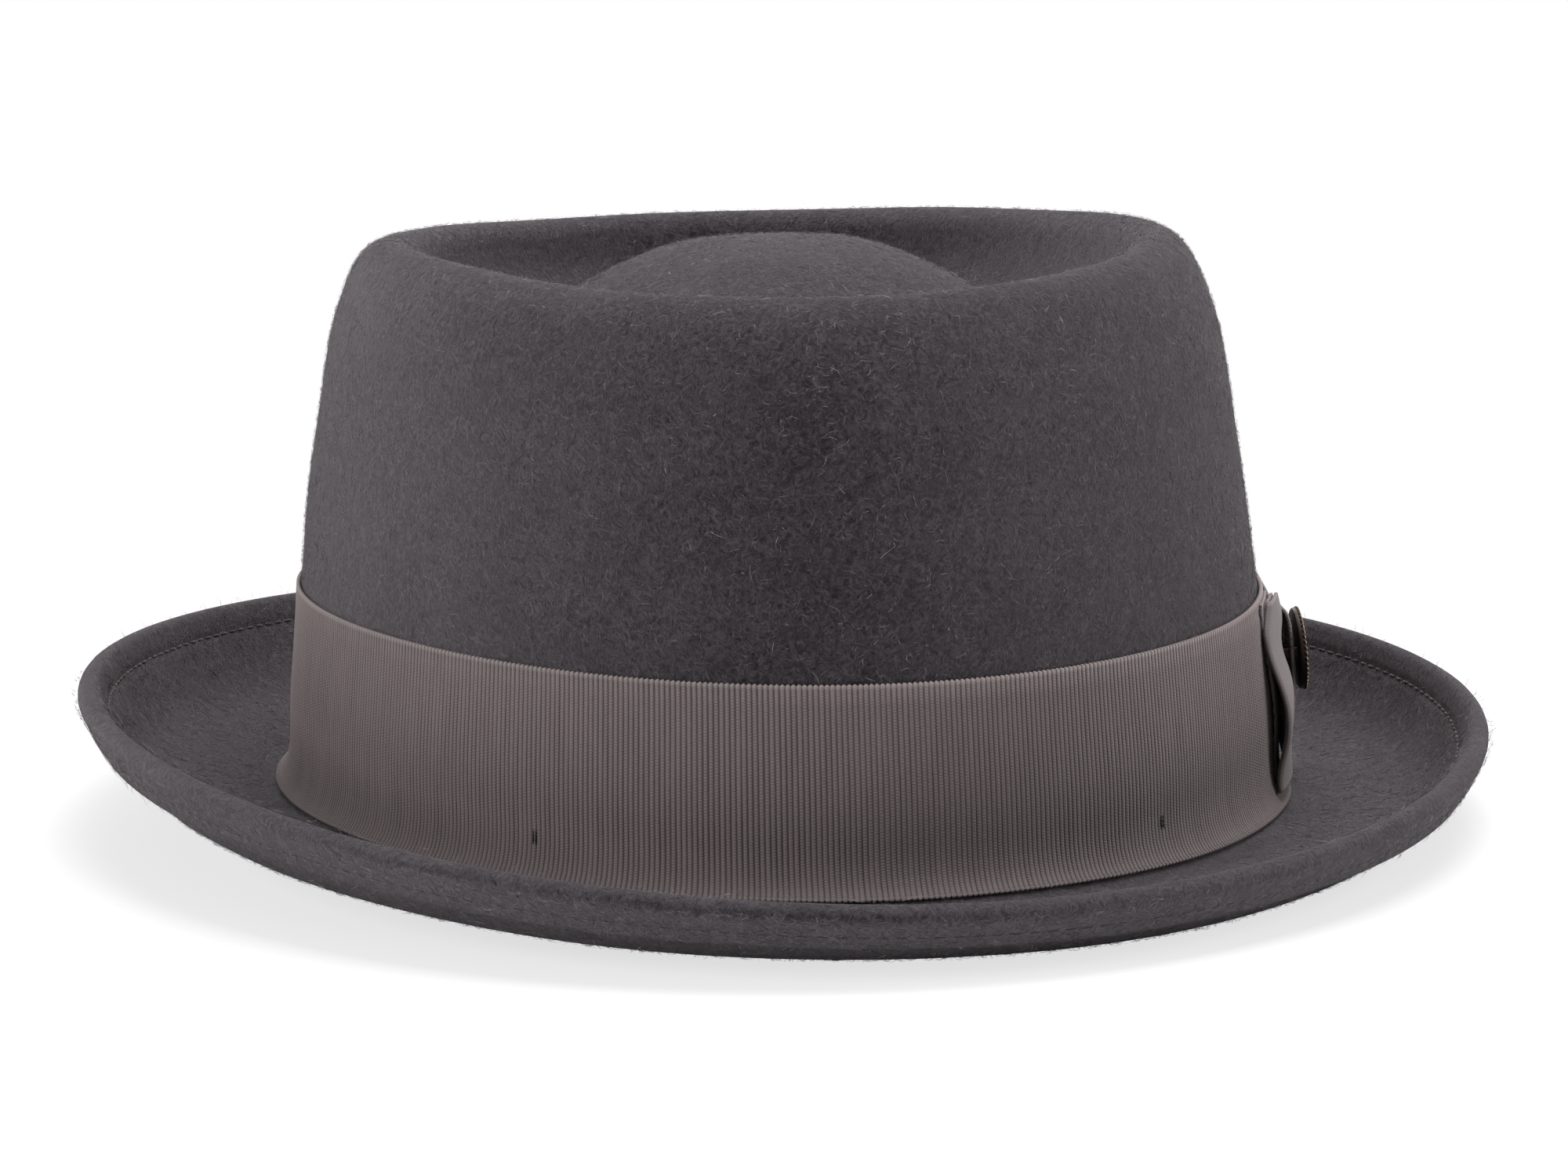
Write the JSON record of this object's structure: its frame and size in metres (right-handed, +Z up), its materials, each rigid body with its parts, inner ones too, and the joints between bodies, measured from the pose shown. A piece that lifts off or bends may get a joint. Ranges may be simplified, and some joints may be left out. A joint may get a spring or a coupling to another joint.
{
  "type": "hat",
  "caption": "Short-brimmed felt hat with a flat telescope crown, curled stitched brim, ribbed ribbon band and a side bow carrying a small round badge, lined inside",
  "frame": {"origin": "on the surface the hat rests on, under the middle of the brim's outline", "axes": "+Z up through the crown; -Y is the front of the hat, so its long axis runs along Y; +X is the wearer's left, where the bow sits"},
  "size_m": [0.2576, 0.2974, 0.1066],
  "materials": {
    "felt": "wool felt, charcoal grey, short brushed nap",
    "ribbon": "ribbed grosgrain ribbon, warm taupe grey",
    "thread": "twisted sewing thread, dark grey",
    "badge_metal": "antiqued dark bronze",
    "badge_inlay": "warm bronze, worn bright on the high spots",
    "sweat_leather": "smooth dark brown leather",
    "reed": "extruded plastic reed",
    "reed_cloth": "woven cotton tape",
    "lining": "satin lining, dark grey, soft sheen",
    "piping": "satin piping",
    "tag": "blank woven tag"
  },
  "bodies": {
    "root": {"felt_body": "felt", "brim_stitching": "thread", "hatband_ribbon": "ribbon", "ribbon_tacks": "thread", "bow_tail": "ribbon", "bow_front_loop": "ribbon", "bow_rear_loop": "ribbon", "bow_knot": "ribbon", "badge_casting": "badge_metal", "badge_centre": "badge_inlay", "badge_prongs": "badge_metal", "lining_wall": "lining", "lining_piping": "piping", "lining_tip": "lining", "sweatband": "sweat_leather", "sweatband_reed": "reed", "reed_tape": "reed_cloth", "sweatband_stitching": "thread", "sweatband_bow": "piping", "size_tag": "tag"}
  },
  "joints": []
}
